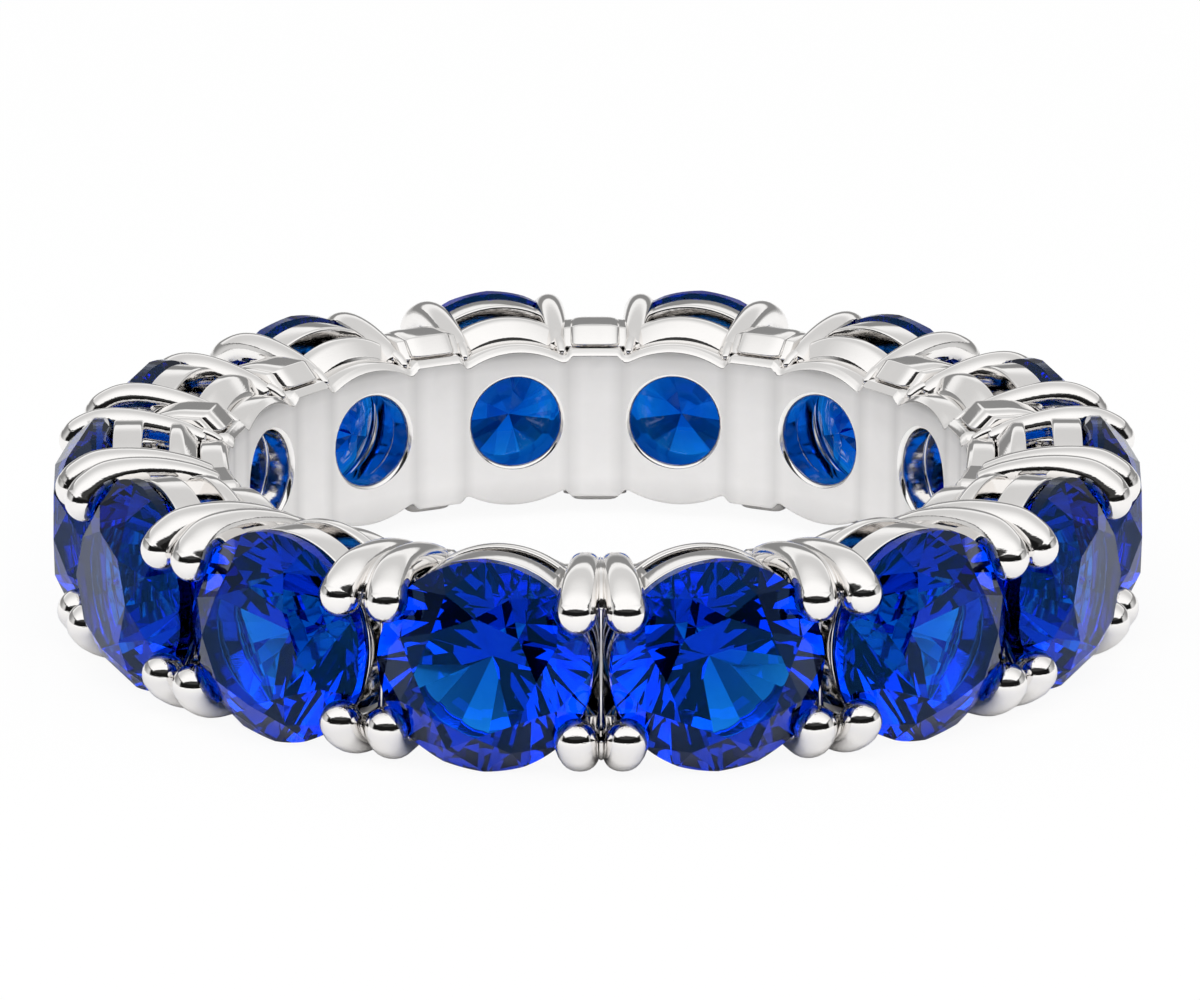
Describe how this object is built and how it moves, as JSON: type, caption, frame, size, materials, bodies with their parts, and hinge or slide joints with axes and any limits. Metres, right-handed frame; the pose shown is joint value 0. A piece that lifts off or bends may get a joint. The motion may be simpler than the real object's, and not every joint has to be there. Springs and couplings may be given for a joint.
{
  "type": "eternity ring",
  "caption": "Full eternity ring: round faceted stones side by side all the way round, each held by claws in an open basket on a pierced, scalloped band.",
  "frame": {"origin": "centre of the finger hole, half way up the ring as it lies on its side", "axes": "+Z along the finger hole, straight up as the ring lies; -Y to the gap between two stones that faces the viewer; +X to the picture's right"},
  "size_m": [0.0248, 0.0249, 0.0048],
  "materials": {
    "white_metal": "polished white gold",
    "blue_stone": "polished facets, deep royal blue, clear"
  },
  "bodies": {
    "root": {"setting": "white_metal", "stone_01": "blue_stone", "stone_02": "blue_stone", "stone_03": "blue_stone", "stone_04": "blue_stone", "stone_05": "blue_stone", "stone_06": "blue_stone", "stone_07": "blue_stone", "stone_08": "blue_stone", "stone_09": "blue_stone", "stone_10": "blue_stone", "stone_11": "blue_stone", "stone_12": "blue_stone", "stone_13": "blue_stone", "stone_14": "blue_stone"}
  },
  "joints": []
}
